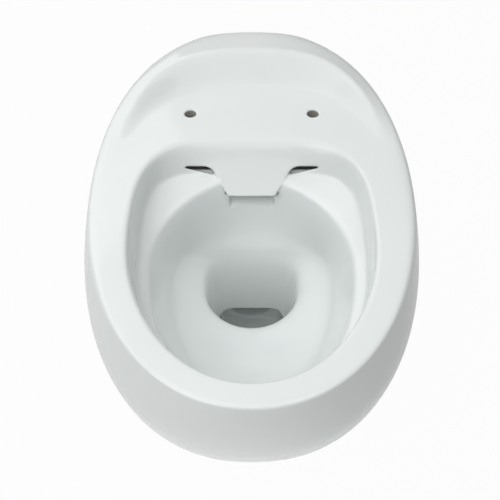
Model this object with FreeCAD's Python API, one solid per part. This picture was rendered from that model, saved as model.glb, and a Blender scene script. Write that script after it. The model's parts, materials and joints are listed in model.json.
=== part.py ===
import FreeCAD, Part
import math
import os
from FreeCAD import Vector

# Wall hung toilet: a rimless pan of vitreous china on a concealed wall fixing.
# Millimetres. The wall is the plane y = 0, the front looks along -Y and +Z is up.
# The origin lies on the wall, half way between the two wall studs.

# Wall connections
STUD_SPACING = 180.0        # between the two wall studs
RIM_ABOVE_STUDS = 80.0      # flat deck above the stud line
INLET_ABOVE_STUDS = 35.0    # flush pipe axis above the stud line
OUTLET_BELOW_STUDS = 100.0  # waste axis below the stud line

# Outline of the pan in plan, distances forward of the wall
PAN_LENGTH = 574.0
PAN_WIDTH = 392.0
PAN_DEPTH = 355.0           # deck down to the flat underside
WIDEST_FROM_WALL = 275.0
RIM_LENGTH = 567.0          # front of the rim crest
RIM_WIDTH = 344.0           # across the rim crest
COLLAR_FROM_WALL = 60.0     # crest of the raised collar at the back
COLLAR_HEIGHT = 32.0        # that crest above the deck
COLLAR_END = 200.0          # where the collar has run out along the sides
WALL_EDGE_HEIGHT = 25.0     # top edge at the wall above the deck
DECK_START = 98.0           # foot of the collar slope
CHINA = 11.0                # wall thickness

# Bowl
OPENING_WIDTH = 266.0
OPENING_FRONT = 538.0
OPENING_REAR = 198.0
OPENING_WIDEST = 345.0
LEDGE_REAR_DEPTH = 33.0     # washing ledge under the rear edge
LEDGE_SIDE_DEPTH = 51.0     # washing ledge along the sides
LEDGE_WIDTH = 15.0
SUMP_WIDTH = 118.0
SUMP_FRONT = 362.0
SUMP_REAR = 270.0
SUMP_TOP = 160.0
SUMP_FLOOR = 322.0

# Trapway
DIP_DEPTH = 256.0           # edge the water seals against, below the deck
THROAT_WIDTH = 91.0
THROAT_LENGTH = 34.0
THROAT_CORNER_R = 12.0
TRAP_R = 33.0
TRAP_BEND_R = 60.0
TRAP_RISE_DEG = 55.0
TRAP_TURN_FROM_WALL = 258.0
SPIGOT_R = 51.0
SPIGOT_BORE_R = 41.0
SPIGOT_END = 58.0
SPIGOT_LENGTH = 60.0

# Flush way
INLET_SOCKET_R = 27.5
INLET_MOUTH = 34.0
INLET_SOCKET_LENGTH = 44.0
INLET_WAY_R = 20.0
CHAMBER_WIDTH = 172.0
CHAMBER_FRONT = 212.0
CHAMBER_REAR = 172.0
CHAMBER_TOP = 24.0
CHAMBER_FLOOR = 58.0
PASSAGE_HEIGHT = 13.0
MOUTH_GAP = 2.5            # open beside the tongue
MOUTH_DEPTH = 14.0
TONGUE_TOP_HALF = 50.0
TONGUE_TIP_HALF = 29.0
TONGUE_TIP_DEPTH = 50.0
TONGUE_THICK = 8.0
TONGUE_CORNER_R = 5.0
TONGUE_ROOT_R = 16.0
CHANNEL_FLOOR = 58.0
CHANNEL_LIP = 80.0          # where its sloping floor runs out into the bowl
CHANNEL_WIDTH = 56.0
SPLITTER_WIDTH = 6.0

# Seat holes
SEAT_HOLE_SPACING = 155.0
SEAT_HOLE_FROM_WALL = 150.0
SEAT_HOLE_R = 7.5
SEAT_BOSS_DEPTH = 28.0

# Wall mat
MAT_THICK = 4.0
MAT_INSET = 2.0
MAT_WIDTH = 16.0

# Studs, nuts and washers
STUD_R = 6.0                # M12 end that screws into the wall frame
STUD_TAIL_R = 5.0           # M10 end that carries the bracket
STUD_INSIDE = 42.0
STUD_OUTSIDE = 60.0
NUT_FLATS = 17.0
NUT_HEIGHT = 8.0
WASHER_R = 10.5
WASHER_THICK = 2.0

# Hanger brackets
PLATE_WIDTH = 48.0
PLATE_FOOT = 24.0           # plate below the stud axis
PLATE_THICK = 5.0
PLATE_CORNER_R = 6.0
STUD_HOLE_R = 5.5
ARM_CLEARANCE = 4.5         # between the arm and the tip of the clamp screw
ARM_THICK = 6.0
ARM_HEIGHT = 30.0
ARM_REACH = 84.0
HOOK_REACH = 22.0
RAMP_DEG = 15.0
SHOE_WALL = 3.0
SHOE_LENGTH = 52.0
SHOE_START = 16.0
RIB_WIDTH = 24.0

# Side clamps
CLAMP_FROM_WALL = 56.0
CLAMP_ABOVE_STUDS = 28.0
BOSS_R = 24.0
BOSS_DEPTH = 30.0
BUSH_R = 11.0
BUSH_FLANGE_R = 15.0
BUSH_FLANGE_THICK = 3.0
SEAT_DEPTH = 13.0           # spot face below the widest point of the flank there
SCREW_R = 4.0
SCREW_HEAD_R = 6.5
SCREW_HEAD_HEIGHT = 8.0
SCREW_KEY = 6.0
SCREW_KEY_DEPTH = 4.5
SCREW_TIP = 4.0             # screw beyond the wedge
WEDGE_LENGTH = 16.0
WEDGE_BACK = 9.0            # wedge behind the screw axis
WEDGE_HEIGHT = 22.0
CLIP_R = 7.5
CLIP_THICK = 1.2
GROOVE_DEPTH = 0.6
CAP_THICK = 2.5
CAP_PLUG_DEPTH = 4.0

# Pipes
FLUSH_PIPE_R = 22.5
FLUSH_TIP_R = 21.5          # end that enters the seal
FLUSH_PIPE_WALL = 2.2
FLUSH_PIPE_INSIDE = 72.0
FLUSH_PIPE_OUTSIDE = 55.0
SEAL_LIP = 2.0
SEAL_COLLAR = 3.0
WASTE_PIPE_R = 45.0
WASTE_PIPE_WALL = 3.5
WASTE_PIPE_OUTSIDE = 90.0
WASTE_SOCKET_R = 55.5
WASTE_SOCKET_LENGTH = 44.0
WASTE_CONE = 18.0

# Fits
RUNNING = 0.05              # radial gap of a turning fit
SLIDING = 0.3               # gap beside a sliding piece
ASSEMBLY = 0.5              # gap where a piece is pushed in by hand

AROUND = 48                 # control points of each oval
FAR = 900.0

DECK = RIM_ABOVE_STUDS
SIDES = {"left": -1, "right": 1}


def oval(half_width, front, rear, widest, height, front_power=2.2, rear_power=2.2):
    """One closed control oval: blunt front, squarer rear, height a number or a function of y."""
    # a closed cubic spline runs a little inside its control points
    spread = 3.0 / (2.0 + math.cos(2 * math.pi / AROUND))
    points = []
    for k in range(AROUND):
        angle = 2 * math.pi * k / AROUND
        across, along = math.cos(angle), math.sin(angle)
        power = rear_power if along > 0 else front_power
        reach = widest - rear if along > 0 else front - widest
        size = spread * (abs(across) ** power + abs(along) ** power) ** (-1 / power)
        y = -widest + reach * size * along
        z = height(y) if callable(height) else height
        points.append(Vector(half_width * size * across, y, DECK + z))
    return points


def skin(ovals):
    """Smooth closed solid over a stack of control ovals, flat at its two ends."""
    rows = len(ovals)
    net = [[level[k] for level in ovals] for k in range(AROUND)]
    surface = Part.BSplineSurface()
    surface.buildFromPolesMultsKnots(
        net, [1] * (AROUND + 1), [4] + [1] * (rows - 4) + [4],
        list(range(AROUND + 1)), list(range(rows - 2)), True, False, 3, 3)
    side = surface.toShape()
    ends = [Part.Face(Part.Wire([edge])) for edge in side.Edges if edge.isClosed()]
    shell = Part.makeShell([side] + ends)
    shell.sewShape()
    solid = Part.makeSolid(shell)
    if solid.Volume < 0:
        solid.reverse()
    return solid


def box(x0, x1, y0, y1, z0, z1):
    return Part.makeBox(x1 - x0, y1 - y0, z1 - z0, Vector(x0, y0, z0))


def rod(radius, start, end):
    """Solid cylinder between two points."""
    start, end = Vector(start), Vector(end)
    return Part.makeCylinder(radius, (end - start).Length, start, end - start)


def tube(outer, inner, start, end):
    return rod(outer, start, end).cut(rod(inner, start, end))


def prism(points, direction):
    """Solid from a closed polygon pushed along a direction."""
    points = [Vector(p) for p in points]
    return Part.Face(Part.makePolygon(points + points[:1])).extrude(Vector(direction))


def turned(profile, axis_point, axis):
    """Solid of revolution from a closed polygon."""
    points = [Vector(p) for p in profile]
    face = Part.Face(Part.makePolygon(points + points[:1]))
    return face.revolve(Vector(axis_point), Vector(axis), 360)


def hexagon(flats, centre, axis):
    """Hexagonal bar with the given distance over flats, axis along its length."""
    centre, axis = Vector(centre), Vector(axis)
    side = axis.cross(Vector(0, 0, 1))
    side.normalize()
    corners = []
    turn = FreeCAD.Rotation(axis, 60)
    arm = side * (flats / math.sqrt(3))
    for k in range(6):
        corners.append(centre + arm)
        arm = turn.multVec(arm)
    return prism(corners, axis)


def collar(base, top, rear):
    """Height that climbs from base where the collar starts to top at the rear of its oval."""
    start, end = -COLLAR_END, -rear

    def height(y):
        if y <= start:
            return base
        return base + (top - base) * ((y - start) / (end - start)) ** 1.4
    return height


def ledge(offset):
    """Height of the washing ledge, highest at the back, falling along the sides."""
    start, end = -OPENING_REAR - 15, -OPENING_WIDEST

    def height(y):
        share = min(1.0, max(0.0, (y - start) / (end - start)))
        share = share * share * (3 - 2 * share)
        return offset - LEDGE_REAR_DEPTH - share * (LEDGE_SIDE_DEPTH - LEDGE_REAR_DEPTH)
    return height


def outside_levels(inset):
    """Control ovals of the outer shell from the underside up to the shoulder."""
    half = PAN_WIDTH / 2 - inset
    length = PAN_LENGTH + 2 - inset
    behind = -165.0
    wide = WIDEST_FROM_WALL
    low = -PAN_DEPTH + inset
    top = -inset
    return [
        oval(half - 145, length - 340, behind + 40, 105, low),
        oval(half - 118, length - 298, behind + 15, 120, low),
        oval(half - 86, length - 236, behind, 150, low + 16),
        oval(half - 54, length - 160, behind, 190, low + 66),
        oval(half - 26, length - 76, behind, 240, low + 148),
        oval(half - 7, length - 11, behind, wide - 25, low + 234, 2.3, 2.2),
        oval(half, length - 1, behind, wide - 10, -80, 2.3, 2.2),
        oval(half, length, behind, wide - 10, -52, 2.25, 2.2),
        oval(half - 4, length - 3, -62, wide - 15, collar(-28 + top / 2, -15 + top, -62), 2.18, 2.26),
        oval(half - 8, length - 7, -14, wide - 15, collar(-12 + top, 15 + top, -14), 2.14, 2.27),
        oval(half - 10, length - 9, 4, wide - 15, collar(-1.5 + top, WALL_EDGE_HEIGHT + top, 4), 2.1, 2.27),
    ]


def rim_levels(inset):
    """Control ovals from the collar crest over the flat deck, all at or above deck height."""
    half = RIM_WIDTH / 2 - 4 - inset
    front = RIM_LENGTH - 5 - inset
    wide = WIDEST_FROM_WALL + 25
    back_y = COLLAR_FROM_WALL - 11
    crest_y = COLLAR_FROM_WALL - 1
    fall_y = COLLAR_FROM_WALL + 7
    slope_y = DECK_START - 10
    top = -inset
    back = collar(top, COLLAR_HEIGHT - 1 + top, back_y)
    crest = collar(top, COLLAR_HEIGHT + 2 + top, crest_y)
    fall = collar(top, COLLAR_HEIGHT - 4 + top, fall_y)
    slope = collar(top, COLLAR_HEIGHT * 0.25 + top, slope_y)
    return [
        oval(half + 5, front + 4, back_y, wide, back, 2.2, 2.8),
        oval(half - 1, front - 1, crest_y, wide, crest, 2.2, 3.0),
        oval(half - 4, front - 4, fall_y, wide, fall, 2.2, 3.0),
        oval(half - 7, front - 7, slope_y, wide, slope, 2.2, 3.0),
        oval(half - 10, front - 10, DECK_START, wide + 10, top, 2.2, 3.0),
        oval(half - 13, front - 12, DECK_START + 9, wide + 15, top, 2.2, 3.0),
        oval(half - 16, front - 14, DECK_START + 27, wide + 20, top, 2.2, 3.0),
        oval(half - 21, front - 17, DECK_START + 62, wide + 35, top, 2.1, 3.1),
        oval(half - 27, front - 20, OPENING_REAR - 10, OPENING_WIDEST, top, 2.1, 3.1),
    ]


def closed_under_deck(inset):
    """Solid parallel to the outside of the pan, closed flat under the deck."""
    return skin(outside_levels(inset) + rim_levels(inset)[:7])


def bowl_levels(outset):
    """Control ovals from the edge of the opening down to the floor of the sump."""
    half = OPENING_WIDTH / 2 + outset
    front = OPENING_FRONT + outset
    rear = OPENING_REAR - outset
    wide = OPENING_WIDEST
    sump = SUMP_WIDTH / 2 + outset
    sump_front = SUMP_FRONT + outset
    sump_rear = SUMP_REAR - outset
    middle = (SUMP_FRONT + SUMP_REAR) / 2 - 15
    sump_top = -SUMP_TOP - outset
    low = -SUMP_FLOOR - outset
    shelf = LEDGE_WIDTH
    return [
        oval(half + 1, front, rear, wide, 0, 2.0, 3.3),
        oval(half, front, rear + 13, wide, -13, 2.0, 3.7),
        oval(half - 1, front - 1, rear + 22, wide, ledge(8 - outset), 2.0, 4.4),
        oval(half - 2, front - 2, rear + 23, wide, ledge(-outset), 2.0, 4.4),
        oval(half - 5, front - 4, rear + 25, wide, ledge(-2 - outset), 2.0, 3.4),
        oval(half - shelf, front - 7, rear + 30, wide, ledge(-4 - outset), 2.0, 1.8),
        oval(half - shelf - 2, front - 10, rear + 33, wide, ledge(-10 - outset), 2.0, 1.85),
        oval(half - shelf - 6, front - 16, rear + 36, wide, ledge(-26 - outset), 2.0, 1.9),
        oval(half - 28, front - 34, rear + 42, wide - 10, -106 - outset, 2.0, 2.2),
        oval(half - 33, front - 74, rear + 48, wide - 25, -130 - outset, 2.1, 2.6),
        oval(sump + 29, sump_front + 62, sump_rear - 18, middle + 15, sump_top + 18, 2.1, 3.4),
        oval(sump + 14, sump_front + 24, sump_rear - 16, middle + 5, sump_top + 8, 2.05, 4.2),
        oval(sump + 4, sump_front + 5, sump_rear - 14, middle, sump_top, 2.0, 4.6),
        oval(sump - 1, sump_front - 2, sump_rear - 12, middle, sump_top - 11, 2.0, 4.6),
        oval(sump - 5, sump_front - 9, sump_rear - 8, middle, sump_top - 45, 2.0, 4.6),
        oval(sump - 10, sump_front - 18, sump_rear - 2, middle, sump_top - 92, 2.1, 4.6),
        oval(sump - 15, sump_front - 32, sump_rear, middle, low + 18, 2.6, 4.0),
        oval(sump - 22, sump_front - 34, sump_rear + 6, middle, low, 2.4, 3.0),
        oval(sump - 36, sump_front - 48, sump_rear + 16, middle, low, 2.2, 2.4),
    ]


def trap_path():
    """Centre line of the trapway from the sump, up over the weir and level to the spigot."""
    rise = math.radians(TRAP_RISE_DEG)
    bend = TRAP_BEND_R
    low = DECK - SUMP_FLOOR + TRAP_R
    high = -OUTLET_BELOW_STUDS
    middle = -(SUMP_FRONT + SUMP_REAR) / 2
    reach = bend * math.sin(rise)
    climb = bend * (1 - math.cos(rise))
    half_reach = bend * math.sin(rise / 2)
    half_climb = bend * (1 - math.cos(rise / 2))
    turn = Vector(0, -TRAP_TURN_FROM_WALL, low)
    leg_foot = turn + Vector(0, reach, climb)
    run = (high - climb - leg_foot.z) / math.tan(rise)
    leg_top = Vector(0, leg_foot.y + run, high - climb)
    level = leg_top + Vector(0, reach, climb)
    return Part.Wire([
        Part.makeLine(Vector(0, middle, low), turn),
        Part.Arc(turn, turn + Vector(0, half_reach, half_climb), leg_foot).toShape(),
        Part.makeLine(leg_foot, leg_top),
        Part.Arc(leg_top, level - Vector(0, half_reach, half_climb), level).toShape(),
        Part.makeLine(level, Vector(0, -SPIGOT_END, high)),
    ])


def trap_pipe(radius):
    path = trap_path()
    start = path.OrderedVertexes[0].Point
    ring = Part.Face(Part.Wire([Part.makeCircle(radius, start, Vector(0, 1, 0))]))
    return path.makePipe(ring)


def spigot(radius, end):
    axis = -OUTLET_BELOW_STUDS
    return rod(radius, (0, -SPIGOT_END - SPIGOT_LENGTH, axis), (0, end, axis))


def throat(grow):
    """Mouth of the trapway under the straight dip edge, with rounded corners."""
    half = THROAT_WIDTH / 2 + grow
    back = THROAT_LENGTH - SUMP_REAR + grow
    low = DECK - SUMP_FLOOR - grow
    block = box(-half, half, -SUMP_REAR - 30, back, low, DECK - DIP_DEPTH + grow)
    edges = [e for e in block.Edges if abs(e.tangentAt(e.FirstParameter).y) > 0.9]
    return block.makeFillet(THROAT_CORNER_R + grow, edges)


def inlet(radius, start, end):
    axis = INLET_ABOVE_STUDS
    return rod(radius, (0, -start, axis), (0, -end, axis))


def chamber(grow):
    """Flush chamber behind the rear edge of the opening."""
    half = CHAMBER_WIDTH / 2 + grow
    low = CHANNEL_FLOOR if grow else CHAMBER_FLOOR
    high = DECK if grow else DECK - CHAMBER_TOP
    front = CHAMBER_FRONT + 2.5 * grow
    return box(-half, half, -front, -CHAMBER_REAR + grow, DECK - low - grow, high)


def lip_prism(outline, start, depth):
    """Solid over an outline of (x, drop) points on the sloping face of the tongue."""
    inward = Vector(0, 1, -1).normalize()
    corners = [Vector(x, -OPENING_REAR - d, DECK - d) + inward * start for x, d in outline]
    return prism(corners, inward * depth)


def tongue_side(drop):
    """Half width of the tongue at a drop below the deck."""
    share = (drop - CHAMBER_TOP) / (TONGUE_TIP_DEPTH - CHAMBER_TOP)
    return TONGUE_TOP_HALF + share * (TONGUE_TIP_HALF - TONGUE_TOP_HALF)


def passage():
    """Way from the chamber to the mouth behind the tongue, over the full width of both."""
    end = CHAMBER_WIDTH / 2
    high = DECK - CHAMBER_TOP
    return box(-end, end, -OPENING_REAR - 17, 1 - CHAMBER_FRONT, high - PASSAGE_HEIGHT, high)


def mouth():
    """Opening behind the tongue, drawn out to a point along the ledge on both sides."""
    end = CHAMBER_WIDTH / 2
    knee = CHAMBER_TOP + 7
    tip = TONGUE_TIP_DEPTH - 2
    right = [(end, CHAMBER_TOP), (end, CHAMBER_TOP + 1), (tongue_side(knee) + MOUTH_GAP, knee),
             (tongue_side(tip) + MOUTH_GAP, tip)]
    left = [(-x, d) for x, d in reversed(right)]
    return lip_prism(right + left, -1, MOUTH_DEPTH + 1)


def channel(grow):
    """Way out of the chamber under the tongue, its floor sloping down into the bowl."""
    half = CHANNEL_WIDTH / 2 + grow
    bend = -CHAMBER_FRONT - 6
    front = -OPENING_REAR - (42 if grow else 66)
    high, low, lip = DECK - CHAMBER_TOP, DECK - CHANNEL_FLOOR - grow, DECK - CHANNEL_LIP - grow
    run_out = bend - (low - lip)
    side = [(10 - CHAMBER_FRONT, high), (10 - CHAMBER_FRONT, low), (bend, low), (run_out, lip),
            (min(front, run_out - 1), lip), (min(front, run_out - 1), high)]
    return prism([(-half, y, z) for y, z in side], (2 * half, 0, 0))


def tongue():
    """Sloping lip that carries the rear edge down over the middle outlet."""
    root = TONGUE_TOP_HALF + 15
    outline = [
        (-root, 10.0), (root, 10.0), (root, CHAMBER_TOP), (TONGUE_TOP_HALF, CHAMBER_TOP),
        (TONGUE_TIP_HALF, TONGUE_TIP_DEPTH), (-TONGUE_TIP_HALF, TONGUE_TIP_DEPTH),
        (-TONGUE_TOP_HALF, CHAMBER_TOP), (-root, CHAMBER_TOP),
    ]
    inward = Vector(0, 1, -1).normalize()
    lip = lip_prism(outline, 1.0, TONGUE_THICK)
    across = [e for e in lip.Edges if abs(e.tangentAt(e.FirstParameter).dot(inward)) > 0.99]
    tips = [e for e in across if e.BoundBox.YMax < -OPENING_REAR - CHAMBER_TOP - 10]
    lip = lip.makeFillet(TONGUE_CORNER_R, tips)
    roots = [e for e in lip.Edges if e.Length < TONGUE_THICK + 0.1
             and abs(abs(e.BoundBox.XMin) - TONGUE_TOP_HALF) < 0.1 and e.BoundBox.XLength < 0.1]
    lip = lip.makeFillet(TONGUE_ROOT_R, roots)
    for sign in SIDES.values():
        x0, x1 = sorted((sign * (TONGUE_TOP_HALF + 9), sign * (root + 1)))
        lip = lip.cut(box(x0, x1, -FAR, 0, -FAR, DECK - CHAMBER_TOP))
    half = SPLITTER_WIDTH / 2
    splitter = box(-half, half, -CHAMBER_FRONT - 14, -CHAMBER_REAR, DECK - CHANNEL_FLOOR - 10, DECK - 46)
    return lip.fuse(splitter)


def flank(shell):
    """Half width of the outer shell where the side clamps pass through it."""
    start = Vector(0, -CLAMP_FROM_WALL, CLAMP_ABOVE_STUDS)
    return shell.common(Part.makeLine(start, start + Vector(FAR, 0, 0))).BoundBox.XMax


def arm_outer(seat):
    """Outer face of the bracket arm, just short of the tip of the clamp screw."""
    return seat - BOSS_DEPTH - 2 - WEDGE_LENGTH - SCREW_TIP - ARM_CLEARANCE


def clamp_rod(radius, start, end, sign=1):
    """Cylinder on a side clamp axis between two distances from the middle plane."""
    y, z = -CLAMP_FROM_WALL, CLAMP_ABOVE_STUDS
    return rod(radius, (sign * start, y, z), (sign * end, y, z))


def make_pan(shell, seat):
    """The one fired piece: shell, rim, bowl, trapway, flush way and fixing bosses."""
    hollow = closed_under_deck(CHINA)
    arm = arm_outer(seat) - ARM_THICK / 2
    inner_end = seat - BOSS_DEPTH
    kept = [
        skin(bowl_levels(CHINA - 1)),
        trap_pipe(TRAP_R + CHINA - 1),
        throat(CHINA - 1),
        spigot(SPIGOT_R, -SPIGOT_END),
        inlet(INLET_SOCKET_R + CHINA - 2, CHAMBER_REAR, INLET_MOUTH),
        chamber(CHINA - 1),
        channel(CHINA - 1),
    ]
    for sign in SIDES.values():
        kept.append(clamp_rod(BOSS_R, inner_end, FAR, sign))
        kept.append(seat_boss(sign * SEAT_HOLE_SPACING / 2))
        x0, x1 = sorted((sign * (arm - RIB_WIDTH / 2), sign * (arm + RIB_WIDTH / 2)))
        foot = CLAMP_ABOVE_STUDS + ARM_HEIGHT / 2 + SHOE_WALL
        kept.append(box(x0, x1, -ARM_REACH, -SHOE_START, foot, DECK))
    for piece in kept:
        hollow = hollow.cut(piece)
    ways = [
        hollow, trap_pipe(TRAP_R), throat(0), spigot(SPIGOT_BORE_R, 0), chamber(0), passage(),
        mouth(), channel(0),
        inlet(INLET_WAY_R, CHAMBER_REAR + 5, INLET_MOUTH),
        inlet(INLET_SOCKET_R, INLET_MOUTH + INLET_SOCKET_LENGTH, INLET_MOUTH),
    ]
    for sign in SIDES.values():
        ways.append(clamp_rod(BUSH_R + ASSEMBLY, inner_end - 1, FAR, sign))
        ways.append(clamp_rod(BUSH_FLANGE_R + ASSEMBLY, seat, FAR, sign))
        ways.append(seat_hole(sign * SEAT_HOLE_SPACING / 2))
    pan = shell
    for way in ways:
        pan = pan.cut(way)
    pan = pan.fuse(tongue())
    return pan


def seat_hole(x):
    """Cutter for one seat hole through the deck."""
    y = -SEAT_HOLE_FROM_WALL
    return rod(SEAT_HOLE_R, (x, y, DECK - SEAT_BOSS_DEPTH - 1), (x, y, DECK + 1))


def seat_boss(x):
    """Thick china under the deck around one seat hole."""
    y = -SEAT_HOLE_FROM_WALL
    return rod(SEAT_HOLE_R + CHINA - 1, (x, y, DECK - SEAT_BOSS_DEPTH), (x, y, DECK))


def back_outline(inset):
    """Flat face with the outline of the pan where it meets the mat."""
    wires = closed_under_deck(inset).slice(Vector(0, 1, 0), -MAT_THICK)
    return Part.Face(max(wires, key=lambda wire: wire.Length))


def make_mat():
    """Foam ring between the rear edge of the pan and the wall."""
    ring = back_outline(MAT_INSET).cut(back_outline(MAT_INSET + MAT_WIDTH))
    return ring.extrude(Vector(0, MAT_THICK, 0)).Solids[0]


def pair(make):
    """The same piece on both studs, as one group."""
    half = STUD_SPACING / 2
    return Part.makeCompound([make(-half), make(half)])


def stud(x):
    """Stepped rod: thick end into the wall frame, thin end through the bracket."""
    thick = rod(STUD_R, (x, 0, 0), (x, STUD_OUTSIDE, 0))
    thin = rod(STUD_TAIL_R, (x, -STUD_INSIDE, 0), (x, 0, 0))
    ends = [(thick, STUD_OUTSIDE), (thin, -STUD_INSIDE)]
    softened = []
    for piece, y in ends:
        rim = [e for e in piece.Edges if max(abs(e.BoundBox.YMin - y), abs(e.BoundBox.YMax - y)) < 0.1]
        softened.append(piece.makeChamfer(1.0, rim))
    return softened[0].fuse(softened[1])


def washer(x):
    return tube(WASHER_R, STUD_HOLE_R, (x, -PLATE_THICK, 0), (x, -PLATE_THICK - WASHER_THICK, 0))


def nut(x):
    start = -PLATE_THICK - WASHER_THICK
    body = hexagon(NUT_FLATS, (x, start, 0), (0, -NUT_HEIGHT, 0))
    corner = NUT_FLATS / math.sqrt(3)
    tall = NUT_HEIGHT + 1
    cone = Part.makeCone(corner + tall, corner - 1, tall, Vector(x, start, 0), Vector(0, -1, 0))
    body = body.common(cone)
    return body.cut(rod(STUD_TAIL_R + RUNNING, (x, start + 1, 0), (x, start - NUT_HEIGHT - 1, 0)))


def ramp_y(x, seat):
    """Sloping contact line between hook and wedge, at distance x from the middle plane."""
    middle = seat - BOSS_DEPTH - 2 - WEDGE_LENGTH / 2
    return -CLAMP_FROM_WALL - WEDGE_BACK + (x - middle) * math.tan(math.radians(RAMP_DEG))


def make_bracket(seat):
    """Steel hanger: wall plate on the stud, arm forward, hook around the wedge."""
    x = STUD_SPACING / 2
    outer = arm_outer(seat)
    inner = outer - ARM_THICK
    tip = outer + HOOK_REACH
    low = CLAMP_ABOVE_STUDS - ARM_HEIGHT / 2
    side = max(x + PLATE_WIDTH / 2, outer)
    plate = box(x - PLATE_WIDTH / 2, side, -PLATE_THICK, 0, -PLATE_FOOT, low + ARM_HEIGHT)
    corners = [e for e in plate.Edges if abs(e.tangentAt(e.FirstParameter).y) > 0.9]
    plate = plate.makeFillet(PLATE_CORNER_R, corners)
    plan = [
        (inner, 0, low), (outer, 0, low), (outer, ramp_y(outer, seat), low),
        (tip, ramp_y(tip, seat), low), (tip, -ARM_REACH, low), (inner, -ARM_REACH, low),
    ]
    arm = prism(plan, (0, 0, ARM_HEIGHT))
    hole = rod(STUD_HOLE_R, (x, 1, 0), (x, -PLATE_THICK - 1, 0))
    return plate.fuse(arm).cut(hole).removeSplitter()


def make_shoe(seat):
    """Plastic saddle on the bracket arm that the china rests on."""
    outer = arm_outer(seat)
    inner = outer - ARM_THICK
    top = CLAMP_ABOVE_STUDS + ARM_HEIGHT / 2
    end = -SHOE_START - SHOE_LENGTH
    block = box(inner - SHOE_WALL, outer + SHOE_WALL, end, -SHOE_START, top - 10, top + SHOE_WALL)
    return block.cut(box(inner - 0.1, outer + 0.1, end - 1, 1 - SHOE_START, top - 11, top))


def bush_shoulder(seat):
    """Outer face of the shoulder inside the bush that the screw head bears on."""
    return seat + BUSH_FLANGE_THICK - CAP_PLUG_DEPTH - SCREW_HEAD_HEIGHT - 2


def make_bush(seat):
    """Flanged plastic sleeve in the side hole of the pan."""
    shoulder = bush_shoulder(seat)
    outer = seat + BUSH_FLANGE_THICK
    end = seat - BOSS_DEPTH + 2
    body = clamp_rod(BUSH_R, end, outer).fuse(clamp_rod(BUSH_FLANGE_R, seat, outer))
    body = body.cut(clamp_rod(SCREW_HEAD_R + ASSEMBLY, shoulder, outer + 1))
    body = body.cut(clamp_rod(SCREW_R + RUNNING, shoulder - 8, shoulder + 1))
    return body.cut(clamp_rod(CLIP_R + 1, end - 1, shoulder - 6)).removeSplitter()


def make_screw(seat):
    """Socket head screw, held endways between the bush shoulder and its clip."""
    head = bush_shoulder(seat) + RUNNING
    tip = seat - BOSS_DEPTH - 2 - WEDGE_LENGTH - SCREW_TIP
    groove = bush_shoulder(seat) - 6 - RUNNING
    body = clamp_rod(SCREW_HEAD_R, head, head + SCREW_HEAD_HEIGHT)
    body = body.fuse(clamp_rod(SCREW_R, tip, head))
    y, z = -CLAMP_FROM_WALL, CLAMP_ABOVE_STUDS
    centre = (head + SCREW_HEAD_HEIGHT - SCREW_KEY_DEPTH, y, z)
    body = body.cut(hexagon(SCREW_KEY, centre, (SCREW_KEY_DEPTH + 1, 0, 0)))
    inner_side = groove - CLIP_THICK - RUNNING
    ring = tube(SCREW_R + 1, SCREW_R - GROOVE_DEPTH, (inner_side, y, z), (groove, y, z))
    return body.cut(ring).removeSplitter()


def make_clip(seat):
    """Split ring in the groove of the screw."""
    start = bush_shoulder(seat) - 6 - RUNNING
    y, z = -CLAMP_FROM_WALL, CLAMP_ABOVE_STUDS
    bore = SCREW_R - GROOVE_DEPTH + RUNNING
    ring = tube(CLIP_R, bore, (start - CLIP_THICK, y, z), (start, y, z))
    return ring.cut(box(start - 2, start + 1, y - 2, y + 2, z, z + CLIP_R + 1))


def make_wedge(seat):
    """Travelling nut whose sloping face pulls on the hook of the bracket."""
    outer = seat - BOSS_DEPTH - 2
    inner = outer - WEDGE_LENGTH
    low = CLAMP_ABOVE_STUDS - WEDGE_HEIGHT / 2
    back = -CLAMP_FROM_WALL + WEDGE_BACK
    gap = SLIDING / 2
    plan = [
        (inner, back, low), (outer, back, low),
        (outer, ramp_y(outer, seat) + gap, low), (inner, ramp_y(inner, seat) + gap, low),
    ]
    body = prism(plan, (0, 0, WEDGE_HEIGHT))
    return body.cut(clamp_rod(SCREW_R + RUNNING, inner - 1, outer + 1))


def make_cap(seat):
    """Cover that snaps into the bush over the screw head."""
    outer = seat + BUSH_FLANGE_THICK
    disc = clamp_rod(BUSH_FLANGE_R, outer, outer + CAP_THICK)
    rim = [e for e in disc.Edges if e.BoundBox.XMin > outer + CAP_THICK - 0.1]
    disc = disc.makeFillet(1.2, rim)
    plug = clamp_rod(SCREW_HEAD_R + ASSEMBLY - RUNNING, outer - CAP_PLUG_DEPTH, outer + 1)
    hollow = clamp_rod(SCREW_HEAD_R - 1.5, outer - CAP_PLUG_DEPTH - 1, outer)
    return disc.fuse(plug).cut(hollow).removeSplitter()


def make_flush_pipe():
    """Plastic pipe, stepped down where it enters the seal."""
    bore = FLUSH_TIP_R - FLUSH_PIPE_WALL
    step = -INLET_MOUTH + SEAL_COLLAR + 1
    profile = [
        (bore, -FLUSH_PIPE_INSIDE), (FLUSH_TIP_R, -FLUSH_PIPE_INSIDE), (FLUSH_TIP_R, step),
        (FLUSH_PIPE_R, step), (FLUSH_PIPE_R, FLUSH_PIPE_OUTSIDE), (bore, FLUSH_PIPE_OUTSIDE),
    ]
    axis = INLET_ABOVE_STUDS
    return turned([(r, y, axis) for r, y in profile], (0, 0, axis), (0, 1, 0))


def make_flush_seal():
    """Rubber sleeve between flush pipe and china socket, with a collar at the mouth."""
    inner = FLUSH_TIP_R + RUNNING
    outer = INLET_SOCKET_R - RUNNING
    mouth = -INLET_MOUTH
    end = mouth - INLET_SOCKET_LENGTH + 4
    collar_r = INLET_SOCKET_R + 5
    profile = [
        (inner, end), (outer, end), (outer, mouth), (collar_r, mouth),
        (collar_r, mouth + SEAL_COLLAR), (inner, mouth + SEAL_COLLAR),
    ]
    axis = INLET_ABOVE_STUDS
    return turned([(r, y, axis) for r, y in profile], (0, 0, axis), (0, 1, 0))


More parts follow.
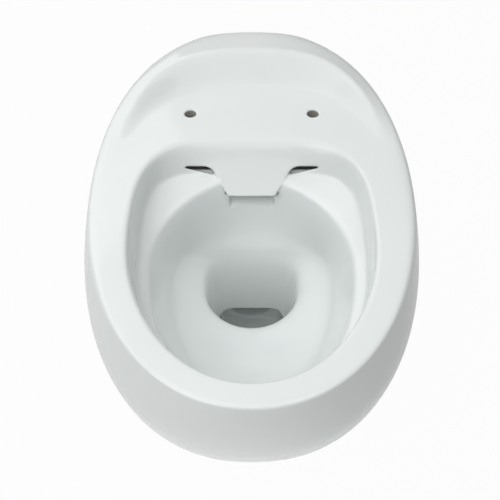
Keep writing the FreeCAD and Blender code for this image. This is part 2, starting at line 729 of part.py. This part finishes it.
def make_waste_connector():
    """Plastic pipe with a socket over the china spigot."""
    wall = WASTE_PIPE_WALL
    mouth = -SPIGOT_END - WASTE_SOCKET_LENGTH
    floor = 1 - SPIGOT_END
    bore = WASTE_PIPE_R - wall
    profile = [
        (WASTE_SOCKET_R, mouth), (WASTE_SOCKET_R + wall, mouth), (WASTE_SOCKET_R + wall, floor + wall),
        (WASTE_PIPE_R, floor + wall + WASTE_CONE), (WASTE_PIPE_R, WASTE_PIPE_OUTSIDE),
        (bore, WASTE_PIPE_OUTSIDE), (bore, floor + WASTE_CONE), (SPIGOT_BORE_R + 4, floor),
        (WASTE_SOCKET_R, floor),
    ]
    axis = -OUTLET_BELOW_STUDS
    return turned([(r, y, axis) for r, y in profile], (0, 0, axis), (0, 1, 0))


def make_waste_seal():
    """Rubber lip ring between spigot and socket."""
    inner = SPIGOT_R + RUNNING
    outer = WASTE_SOCKET_R - RUNNING
    web = inner + SEAL_LIP
    start = -SPIGOT_END - WASTE_SOCKET_LENGTH + 3
    profile = [
        (outer, start), (outer, start + 22), (web, start + 22), (web, start + 17), (inner, start + 15),
        (inner, start + 12), (web, start + 10), (web, start + 7), (inner, start + 5), (inner, start + 2),
        (web, start),
    ]
    axis = -OUTLET_BELOW_STUDS
    return turned([(r, y, axis) for r, y in profile], (0, 0, axis), (0, 1, 0))


def build():
    """Every piece by node name."""
    room = box(-FAR, FAR, -FAR, -MAT_THICK, -FAR, FAR)
    shell = skin(outside_levels(0) + rim_levels(0) + bowl_levels(0)).common(room)
    seat = flank(shell) - SEAT_DEPTH
    nodes = {
        "pan": make_pan(shell, seat),
        "wall_mat": make_mat(),
        "wall_studs": pair(stud),
        "stud_washers": pair(washer),
        "stud_nuts": pair(nut),
        "flush_pipe": make_flush_pipe(),
        "flush_seal": make_flush_seal(),
        "waste_connector": make_waste_connector(),
        "waste_seal": make_waste_seal(),
    }
    handed = {
        "hanger_bracket": make_bracket(seat),
        "bracket_shoe": make_shoe(seat),
        "clamp_bush": make_bush(seat),
        "clamp_screw": make_screw(seat),
        "screw_clip": make_clip(seat),
        "clamp_wedge": make_wedge(seat),
        "cover_cap": make_cap(seat),
    }
    for name, shape in handed.items():
        nodes[name + "_right"] = shape
        nodes[name + "_left"] = shape.mirror(Vector(0, 0, 0), Vector(1, 0, 0))
    return nodes


os.makedirs("parts", exist_ok=True)
for node, shape in build().items():
    shape.exportStep("parts/" + node + ".step")
    print(node, len(shape.Solids), round(shape.Volume / 1000, 2), "cm3", shape.isValid())
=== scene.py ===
import bpy
import bmesh
import json
import math
from mathutils import Matrix, Vector


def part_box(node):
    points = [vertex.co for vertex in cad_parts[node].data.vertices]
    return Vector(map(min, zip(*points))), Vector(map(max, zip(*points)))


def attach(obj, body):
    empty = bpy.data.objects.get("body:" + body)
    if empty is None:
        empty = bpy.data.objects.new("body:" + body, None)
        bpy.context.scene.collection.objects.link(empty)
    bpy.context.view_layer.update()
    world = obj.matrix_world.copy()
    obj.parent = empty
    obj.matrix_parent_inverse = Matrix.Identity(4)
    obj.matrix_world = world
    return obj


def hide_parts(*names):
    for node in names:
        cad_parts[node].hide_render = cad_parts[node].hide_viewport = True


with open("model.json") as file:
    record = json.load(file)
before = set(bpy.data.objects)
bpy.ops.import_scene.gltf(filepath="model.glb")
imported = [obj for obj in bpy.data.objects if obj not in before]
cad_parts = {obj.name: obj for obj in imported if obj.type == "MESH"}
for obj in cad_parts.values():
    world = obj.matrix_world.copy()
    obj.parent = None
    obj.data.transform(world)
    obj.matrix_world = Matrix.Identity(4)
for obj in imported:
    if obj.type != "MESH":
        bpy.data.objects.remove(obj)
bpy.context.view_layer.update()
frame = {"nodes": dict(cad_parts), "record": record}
nodes = frame["nodes"]
mounts = {mount["name"]: mount for mount in frame["record"]["mounts"]}
scene = bpy.context.scene
weld = 0.000001      # points nearer than this, in metres, are one
print("frame loaded:", len(nodes), "nodes")


def linear(hexColour):
    # sRGB hex to the linear RGBA that the sockets take
    channels = [int(hexColour[i:i + 2], 16) / 255 for i in (1, 3, 5)]
    return [c / 12.92 if c <= 0.04045 else ((c + 0.055) / 1.055) ** 2.4 for c in channels] + [1.0]


def addNode(tree, kind, settings=None, links=None):
    # one node, its settings by socket name, socket number or property, and what feeds it
    node = tree.nodes.new(kind)
    for key, value in (settings or {}).items():
        if isinstance(key, int) or key in node.inputs:
            node.inputs[key].default_value = value
        else:
            setattr(node, key, value)
    for key, source in (links or {}).items():
        tree.links.new(source, node.inputs[key])
    return node


def newMaterial(name, shader):
    material = bpy.data.materials.new(name)
    material.use_nodes = True
    tree = material.node_tree
    principled = tree.nodes["Principled BSDF"]
    for key, value in shader.items():
        principled.inputs[key].default_value = value
    return material, tree, principled


def perMetre(millimetres):
    # texture scale whose features repeat about that often
    return 1000.0 / millimetres


# Vitreous china, slip cast, glazed and fired: a white clay body under clear glass. Sharp highlights on a
# cool white that turns greener where the glaze pooled, a slow ripple where it ran, and dull bare clay
# on the foot, ground flat for the wall, and inside the seat holes, in a grey darker than the clay itself:
# painted shade for the inside of the holes.
china = {
    "white": "#ECF0EF", "cooler": "#E8ECEB", "pooled": "#E7ECEB", "bareClayAndHoleShade": "#A3A19B",
    "roughness": 0.085, "bareRoughness": 0.62, "ior": 1.52,
    "patchMm": 120, "rippleMm": 34, "rippleDepth": 0.00005,
    "poolFrom": 0.0, "poolTo": -0.22,            # heights between which the glaze thickens
    "footFrom": -0.0062, "footTo": -0.0048,      # ground off behind this, along Y
    "holeLip": 0.0012, "lipFade": 0.001,         # glaze that runs down into a seat hole, and how it ends
    "holeGrow": 0.0005, "growFade": 0.0003,      # bare, with its painted shade, a little past the hole's own radius
    "holeDepth": 0.035,                          # bare and painted shade down to here, through the boss under the deck
}


# where the clay is bare: the foot, and the seat holes, where the same dark grey also stands for painted shade
def bareAndShadedMask(tree, place):
    seat = mounts["seat_holes"]
    radius = seat["dims"]["hole_r_mm"] / 1000 + china["holeGrow"]
    deck = seat["pos_m"][2] - china["holeLip"]
    axis = (seat["dims"]["spacing_x_mm"] / 2000, seat["pos_m"][1], 0.0)
    split = addNode(tree, "ShaderNodeSeparateXYZ", {}, {0: place})
    foot = addNode(tree, "ShaderNodeMapRange", {"From Min": china["footFrom"], "From Max": china["footTo"]},
                   {"Value": split.outputs["Y"]})
    oneSide = addNode(tree, "ShaderNodeMath", {"operation": "ABSOLUTE"}, {0: split.outputs["X"]})
    flat = addNode(tree, "ShaderNodeCombineXYZ", {}, {"X": oneSide.outputs[0], "Y": split.outputs["Y"]})
    reach = addNode(tree, "ShaderNodeVectorMath", {"operation": "DISTANCE", 1: axis}, {0: flat.outputs[0]})
    inside = addNode(tree, "ShaderNodeMapRange", {"From Min": radius + china["growFade"], "From Max": radius},
                     {"Value": reach.outputs["Value"]})
    below = addNode(tree, "ShaderNodeMapRange", {"From Min": deck, "From Max": deck - china["lipFade"]},
                    {"Value": split.outputs["Z"]})
    above = addNode(tree, "ShaderNodeMath", {"operation": "GREATER_THAN", 1: deck - china["holeDepth"]},
                    {0: split.outputs["Z"]})
    column = addNode(tree, "ShaderNodeMath", {"operation": "MULTIPLY"},
                     {0: inside.outputs["Result"], 1: above.outputs[0]})
    hole = addNode(tree, "ShaderNodeMath", {"operation": "MULTIPLY"},
                   {0: column.outputs[0], 1: below.outputs["Result"]})
    bareAndShaded = addNode(tree, "ShaderNodeMath", {"operation": "MAXIMUM"},
                   {0: foot.outputs["Result"], 1: hole.outputs[0]})
    return bareAndShaded.outputs[0], split.outputs["Z"]


def glazedVitreousChina():
    material, tree, principled = newMaterial("glazedVitreousChina", {"IOR": china["ior"]})
    place = addNode(tree, "ShaderNodeTexCoord").outputs["Object"]
    bareAndShaded, height = bareAndShadedMask(tree, place)
    patches = addNode(tree, "ShaderNodeTexNoise",
                      {"Scale": perMetre(china["patchMm"]), "Detail": 2.0}, {"Vector": place})
    glaze = addNode(tree, "ShaderNodeMix",
                    {"data_type": "RGBA", 6: linear(china["white"]), 7: linear(china["cooler"])},
                    {0: patches.outputs["Fac"]})
    depth = addNode(tree, "ShaderNodeMapRange",
                    {"From Min": china["poolFrom"], "From Max": china["poolTo"]}, {"Value": height})
    thick = addNode(tree, "ShaderNodeMix", {"data_type": "RGBA", 7: linear(china["pooled"])},
                    {0: depth.outputs["Result"], 6: glaze.outputs[2]})
    # bare clay colour, darker than the clay itself as painted shade inside the seat holes
    clayAndShade = addNode(tree, "ShaderNodeMix", {"data_type": "RGBA", 7: linear(china["bareClayAndHoleShade"])},
                   {0: bareAndShaded, 6: thick.outputs[2]})
    dull = addNode(tree, "ShaderNodeMapRange",
                   {"To Min": china["roughness"], "To Max": china["bareRoughness"]}, {"Value": bareAndShaded})
    ripple = addNode(tree, "ShaderNodeTexNoise",
                     {"Scale": perMetre(china["rippleMm"]), "Detail": 1.0}, {"Vector": place})
    bump = addNode(tree, "ShaderNodeBump", {"Strength": 1.0, "Distance": china["rippleDepth"]},
                   {"Height": ripple.outputs["Fac"]})
    tree.links.new(clayAndShade.outputs[2], principled.inputs["Base Color"])
    tree.links.new(dull.outputs["Result"], principled.inputs["Roughness"])
    tree.links.new(bump.outputs["Normal"], principled.inputs["Normal"])
    return material


def unevenTone(tree, principled, place, look, detail):
    # two tones and an uneven polish that drift over the surface together
    patches = addNode(tree, "ShaderNodeTexNoise",
                      {"Scale": perMetre(look["patchMm"]), "Detail": detail}, {"Vector": place})
    tone = addNode(tree, "ShaderNodeMix",
                   {"data_type": "RGBA", 6: linear(look["light"]), 7: linear(look["dark"])},
                   {0: patches.outputs["Fac"]})
    polish = addNode(tree, "ShaderNodeMapRange",
                     {"To Min": look["roughness"][0], "To Max": look["roughness"][1]},
                     {"Value": patches.outputs["Fac"]})
    tree.links.new(tone.outputs[2], principled.inputs["Base Color"])
    tree.links.new(polish.outputs["Result"], principled.inputs["Roughness"])


# Metals of the wall fixing: two tones that drift over the surface, uneven polish and a fine tooth.
# Zinc plate is clouded and bluish, stainless steel cleaner and warmer, die cast zinc grey and dull.
metals = {
    "zinc_steel": {"name": "zincPlatedSteel", "light": "#C4C6C3", "dark": "#A2A7AD", "patchMm": 9,
                   "roughness": (0.28, 0.46), "toothMm": 1.2, "toothDepth": 0.00002},
    "screw_steel": {"name": "stainlessScrewSteel", "light": "#CBCAC6", "dark": "#B3B2AE", "patchMm": 4,
                    "roughness": (0.2, 0.3), "toothMm": 0.8, "toothDepth": 0.00001},
    "wedge_zinc": {"name": "dieCastZinc", "light": "#A3A5A8", "dark": "#85878B", "patchMm": 6,
                   "roughness": (0.42, 0.58), "toothMm": 1.6, "toothDepth": 0.00005},
}


def fixingMetal(look):
    material, tree, principled = newMaterial(look["name"], {"Metallic": 1.0})
    place = addNode(tree, "ShaderNodeTexCoord").outputs["Object"]
    unevenTone(tree, principled, place, look, 4.0)
    tooth = addNode(tree, "ShaderNodeTexNoise",
                    {"Scale": perMetre(look["toothMm"]), "Detail": 2.0}, {"Vector": place})
    bump = addNode(tree, "ShaderNodeBump", {"Distance": look["toothDepth"]}, {"Height": tooth.outputs["Fac"]})
    tree.links.new(bump.outputs["Normal"], principled.inputs["Normal"])
    return material


# Plastics and rubber: pigment that is a little uneven, and the grain of how each was made. The
# stretch draws an extruded pipe's grain out along its length, which lies along Y. The foam shows its
# cells, the rubber is dull, and the caps are nearly as glossy as the china beside them.
softs = {
    "grey_plastic": {"name": "mouldedPolyamide", "light": "#94979A", "dark": "#888B8F", "patchMm": 14,
                     "roughness": (0.4, 0.5), "grainMm": 0.7, "grainDepth": 0.00002, "stretch": 1.0},
    "white_plastic": {"name": "extrudedPolypropylene", "light": "#E6E6E3", "dark": "#DEDEDA", "patchMm": 30,
                      "roughness": (0.3, 0.4), "grainMm": 1.4, "grainDepth": 0.00002, "stretch": 0.04},
    "black_plastic": {"name": "extrudedPolyethylene", "light": "#2A2B2D", "dark": "#212224", "patchMm": 30,
                      "roughness": (0.34, 0.46), "grainMm": 1.6, "grainDepth": 0.00003, "stretch": 0.04},
    "cap_plastic": {"name": "mouldedWhiteAbs", "light": "#ECF0EF", "dark": "#E8ECEB", "patchMm": 20,
                    "roughness": (0.14, 0.2), "grainMm": 2.5, "grainDepth": 0.000006, "stretch": 1.0},
    "seal_rubber": {"name": "mouldedEpdmRubber", "light": "#303031", "dark": "#262627", "patchMm": 10,
                    "roughness": (0.62, 0.78), "grainMm": 0.9, "grainDepth": 0.00004, "stretch": 1.0},
    "mat_foam": {"name": "closedCellFoam", "light": "#E6E8E8", "dark": "#DADDDE", "patchMm": 5,
                 "roughness": (0.8, 0.92), "grainMm": 1.5, "grainDepth": 0.00025, "stretch": 1.0},
}
plasticIor = 1.5


def softStuff(look):
    material, tree, principled = newMaterial(look["name"], {"IOR": plasticIor})
    place = addNode(tree, "ShaderNodeTexCoord").outputs["Object"]
    unevenTone(tree, principled, place, look, 3.0)
    drawn = addNode(tree, "ShaderNodeMapping", {"Scale": (1.0, look["stretch"], 1.0)}, {"Vector": place})
    grain = addNode(tree, "ShaderNodeTexVoronoi", {"Scale": perMetre(look["grainMm"])},
                    {"Vector": drawn.outputs["Vector"]})
    bump = addNode(tree, "ShaderNodeBump", {"Distance": look["grainDepth"]},
                   {"Height": grain.outputs["Distance"]})
    tree.links.new(bump.outputs["Normal"], principled.inputs["Normal"])
    return material


finishes = {"vitreous_china": glazedVitreousChina()}
finishes.update({slot: fixingMetal(look) for slot, look in metals.items()})
finishes.update({slot: softStuff(look) for slot, look in softs.items()})
print("materials:", len(finishes))

for subpart in frame["record"]["subparts"]:
    node = nodes[subpart["node"]]
    node.data.materials.clear()
    node.data.materials.append(finishes[subpart["material_slot"]])


def toMesh(bm, name):
    mesh = bpy.data.meshes.new(name)
    bm.to_mesh(mesh)
    bm.free()
    return mesh


def addObject(name, data):
    added = bpy.data.objects.new(name, data)
    scene.collection.objects.link(added)
    return added


def keepPiece(mesh, name, body, slot, *stoodFor):
    piece = addObject(name, mesh)
    mesh.materials.clear()
    mesh.materials.append(finishes[slot])
    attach(piece, body)
    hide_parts(*stoodFor)


# Pan: the china with every edge rounded by its glaze, most of all the outer edge of the rim
pan = {
    "voxel": 0.0014, "triangles": 190000,
    "softness": 0.5, "rounding": 6, "rimRounding": 40,   # one smoothing step, and how many of them
    "rimBelow": 0.03,                                    # the rim's edge reaches this far down from the deck
    "rimFrom": 0.205, "rimFull": 0.27,                   # distance from the wall where it sets in
    "openingMiddle": 0.345, "openingHalf": 0.133, "openingReach": 0.193,
    "rimStarts": 1.13,                                   # as a share of the opening's oval
}


def applied(work):
    # the work object's mesh with its modifiers made real
    bpy.context.view_layer.update()
    return bpy.data.meshes.new_from_object(work.evaluated_get(bpy.context.evaluated_depsgraph_get()))


def addSmoothing(work, name, steps):
    smoothing = work.modifiers.new(name, "SMOOTH")
    smoothing.factor = pan["softness"]
    smoothing.iterations = steps
    return smoothing


def markRimEdge(work):
    deck = mounts["seat_holes"]["pos_m"][2]
    group = work.vertex_groups.new(name="rimEdge")
    for vertex in work.data.vertices:
        x, y, z = vertex.co
        away = math.hypot(x / pan["openingHalf"], (y + pan["openingMiddle"]) / pan["openingReach"])
        share = min(1.0, (-y - pan["rimFrom"]) / (pan["rimFull"] - pan["rimFrom"]))
        if share > 0 and away > pan["rimStarts"] and z > deck - pan["rimBelow"]:
            group.add((vertex.index,), share, "REPLACE")
    return group.name


def roundedChina():
    bm = bmesh.new()
    bm.from_mesh(nodes["pan"].data)
    bmesh.ops.remove_doubles(bm, verts=bm.verts, dist=weld)
    work = addObject("panWork", toMesh(bm, "panBody"))
    remesh = work.modifiers.new("skin", "REMESH")
    remesh.mode = "VOXEL"
    remesh.voxel_size = pan["voxel"]
    addSmoothing(work, "soften", pan["rounding"])
    fine = applied(work)
    fine.calc_loop_triangles()
    count = len(fine.loop_triangles)
    work.modifiers.clear()
    work.data = fine
    rim = addSmoothing(work, "rim", pan["rimRounding"])
    rim.vertex_group = markRimEdge(work)
    thin = work.modifiers.new("thin", "DECIMATE")
    thin.ratio = min(1.0, pan["triangles"] / count)
    done = applied(work)
    bpy.data.objects.remove(work)
    done.name = "panChina"
    for face in done.polygons:
        face.use_smooth = True
    print("pan:", count, "triangles thinned to", len(done.polygons))
    return done


keepPiece(roundedChina(), "panChina", "pan", "vitreous_china", "pan")

# Wall studs: rolled metric threads, coarse end to the wall frame, fine end to the bracket
studs = {
    "frameEnd": {"radius": 0.006, "pitch": 0.00175}, "bracketEnd": {"radius": 0.005, "pitch": 0.0015},
    "lap": 0.002, "chamfer": 0.001, "stepsPerTurn": 20,
    "threadDepth": 0.6134, "crestFrom": 0.4375, "crestTo": 0.5625,      # as shares of the pitch
    "spareTurns": 2, "cutSnap": 0.0000001,
}


def threadedRod(size, x, start, end, pointed):
    # one tooth wound round the axis, cut square at both ends and chamfered at the free one
    pitch, crest, steps = size["pitch"], size["radius"], studs["stepsPerTurn"]
    root = crest - studs["threadDepth"] * pitch
    turns = math.ceil((end - start) / pitch) + studs["spareTurns"]
    tooth = [(root, 0.0), (crest, studs["crestFrom"]), (crest, studs["crestTo"]), (root, 1.0)]
    bm = bmesh.new()
    corners = [bm.verts.new((x + r, start + (share - 1) * pitch, 0)) for r, share in tooth]
    flanks = [bm.edges.new(ends) for ends in zip(corners, corners[1:])]
    bmesh.ops.spin(bm, geom=corners + flanks, cent=(x, 0, 0), axis=(0, 1, 0),
                   dvec=(0, pitch / steps, 0), angle=2 * math.pi * turns, steps=steps * turns)
    bmesh.ops.remove_doubles(bm, verts=bm.verts, dist=weld)
    for place, facing in ((start, -1), (end, 1)):
        cut = bmesh.ops.bisect_plane(bm, geom=bm.verts[:] + bm.edges[:] + bm.faces[:], dist=studs["cutSnap"],
                                     plane_co=(x, place, 0), plane_no=(0, facing, 0), clear_outer=True)
        bmesh.ops.edgeloop_fill(bm, edges=[e for e in cut["geom_cut"] if isinstance(e, bmesh.types.BMEdge)])
    for vertex in bm.verts:
        arm = Vector((vertex.co.x - x, 0, vertex.co.z))
        allowed = crest - max(0.0, studs["chamfer"] - abs(vertex.co.y - pointed))
        if arm.length > allowed:
            vertex.co += arm * (allowed / arm.length - 1)
    bmesh.ops.recalc_face_normals(bm, faces=bm.faces)
    return bm


def threadedStuds():
    low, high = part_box("wall_studs")
    half = mounts["wall_studs"]["dims"]["spacing_x_mm"] / 2000
    both = bmesh.new()
    for x in (-half, half):
        for rod in (threadedRod(studs["frameEnd"], x, 0.0, high[1], high[1]),
                    threadedRod(studs["bracketEnd"], x, low[1], studs["lap"], low[1])):
            turned = toMesh(rod, "rod")
            both.from_mesh(turned)
            bpy.data.meshes.remove(turned)
    mesh = toMesh(both, "threadedStuds")
    print("studs:", len(mesh.polygons), "faces")
    return mesh


keepPiece(threadedStuds(), "threadedStuds", "pan", "zinc_steel", "wall_studs")

# Stage: a pale floor that the camera and glass see as white, and mirrors in part, with the shadow left in it
stage = {"floorMiddle": (0.0, -0.3, -0.6), "floorSize": 6.0, "floor": "#E2E2E2", "roughness": 0.9,
         "whiteShare": 0.95, "mirrorShare": 0.25}


def seenByEye(tree):
    path = addNode(tree, "ShaderNodeLightPath").outputs
    mirrored = addNode(tree, "ShaderNodeMath", {"operation": "MULTIPLY_ADD", 1: stage["mirrorShare"]},
                       {0: path["Is Glossy Ray"], 2: path["Is Camera Ray"]})
    seen = addNode(tree, "ShaderNodeMath", {"operation": "ADD", "use_clamp": True},
                   {0: mirrored.outputs[0], 1: path["Is Transmission Ray"]})
    return seen.outputs[0]


def paleFloor():
    bm = bmesh.new()
    bmesh.ops.create_grid(bm, x_segments=1, y_segments=1, size=stage["floorSize"] / 2,
                          matrix=Matrix.Translation(stage["floorMiddle"]))
    floor = addObject("floor", toMesh(bm, "floor"))
    material, tree, principled = newMaterial(
        "paleFloor", {"Roughness": stage["roughness"], "Base Color": linear(stage["floor"])})
    white = addNode(tree, "ShaderNodeEmission", {"Color": (1, 1, 1, 1), "Strength": 1.0})
    share = addNode(tree, "ShaderNodeMath", {"operation": "MULTIPLY", 1: stage["whiteShare"]},
                    {0: seenByEye(tree)})
    blend = addNode(tree, "ShaderNodeMixShader", {},
                    {0: share.outputs[0], 1: principled.outputs[0], 2: white.outputs[0]})
    tree.links.new(blend.outputs[0], tree.nodes["Material Output"].inputs["Surface"])
    floor.data.materials.append(material)


paleFloor()

# Light: a sky that glows overhead, a wide lamp above, a key and a fill at the left, and a little
# from below and behind
sky = {"room": 0.07, "glow": 0.8, "glowFrom": 0.3, "glowFull": 0.95}
lamps = {
    "topLamp": {"place": (-0.1, -0.8, 2.1), "aim": (0.0, -0.3, 0.0), "size": 2.0, "power": 11.5},
    "keyLamp": {"place": (-1.1, -1.3, 1.5), "aim": (0.0, -0.3, 0.0), "size": 1.4, "power": 10.0},
    "sideLamp": {"place": (-1.7, -0.4, 1.3), "aim": (0.0, -0.3, 0.0), "size": 1.4, "power": 3.5},
    "lowLamp": {"place": (0.0, -0.8, -0.58), "aim": (0.0, -0.8, 0.0), "size": 0.9, "power": 5.0,
                "mirrored": False},                      # its edge would show in the glaze of the front
    "backLamp": {"place": (-1.2, 1.3, 1.1), "aim": (0.0, -0.2, 0.0), "size": 1.8, "power": 9.0},
}


def softSky():
    world = bpy.data.worlds.new("softSky")
    scene.world = world
    world.use_nodes = True
    tree = world.node_tree
    heading = addNode(tree, "ShaderNodeTexCoord").outputs["Generated"]
    upward = addNode(tree, "ShaderNodeSeparateXYZ", {}, {0: heading})
    glow = addNode(tree, "ShaderNodeMapRange",
                   {"interpolation_type": "SMOOTHSTEP",
                    "From Min": sky["glowFrom"], "From Max": sky["glowFull"],
                    "To Min": sky["room"], "To Max": sky["glow"]}, {"Value": upward.outputs["Z"]})
    dome = tree.nodes["Background"]
    dome.inputs["Color"].default_value = (1, 1, 1, 1)
    tree.links.new(glow.outputs["Result"], dome.inputs["Strength"])
    white = addNode(tree, "ShaderNodeBackground", {"Color": (1, 1, 1, 1), "Strength": 1.0})
    blend = addNode(tree, "ShaderNodeMixShader", {},
                    {0: seenByEye(tree), 1: dome.outputs[0], 2: white.outputs[0]})
    tree.links.new(blend.outputs[0], tree.nodes["World Output"].inputs["Surface"])


def softLamp(name, setting):
    lamp = bpy.data.lights.new(name, "AREA")
    lamp.shape = "SQUARE"
    lamp.size = setting["size"]
    lamp.energy = setting["power"]
    stand = addObject(name, lamp)
    towards = Vector(setting["aim"]) - Vector(setting["place"])
    stand.location = setting["place"]
    stand.rotation_euler = towards.to_track_quat("-Z", "Y").to_euler()
    stand.visible_camera = False
    stand.visible_glossy = setting.get("mirrored", True)


softSky()
for name, setting in lamps.items():
    softLamp(name, setting)
print("light: sky and", len(lamps), "lamps")

# Camera: in front of the pan and above it, looking down into the bowl
camera = {"place": (-0.002, -0.883, 0.662), "tiltDeg": 40.9, "lens": 52.34, "sensor": 36.0}
eye = bpy.data.cameras.new("camera")
eye.sensor_width = camera["sensor"]
eye.lens = camera["lens"]
tripod = addObject("camera", eye)
tripod.location = camera["place"]
tripod.rotation_euler = (math.radians(camera["tiltDeg"]), 0, 0)
scene.camera = tripod
scene.view_settings.view_transform = "Standard"
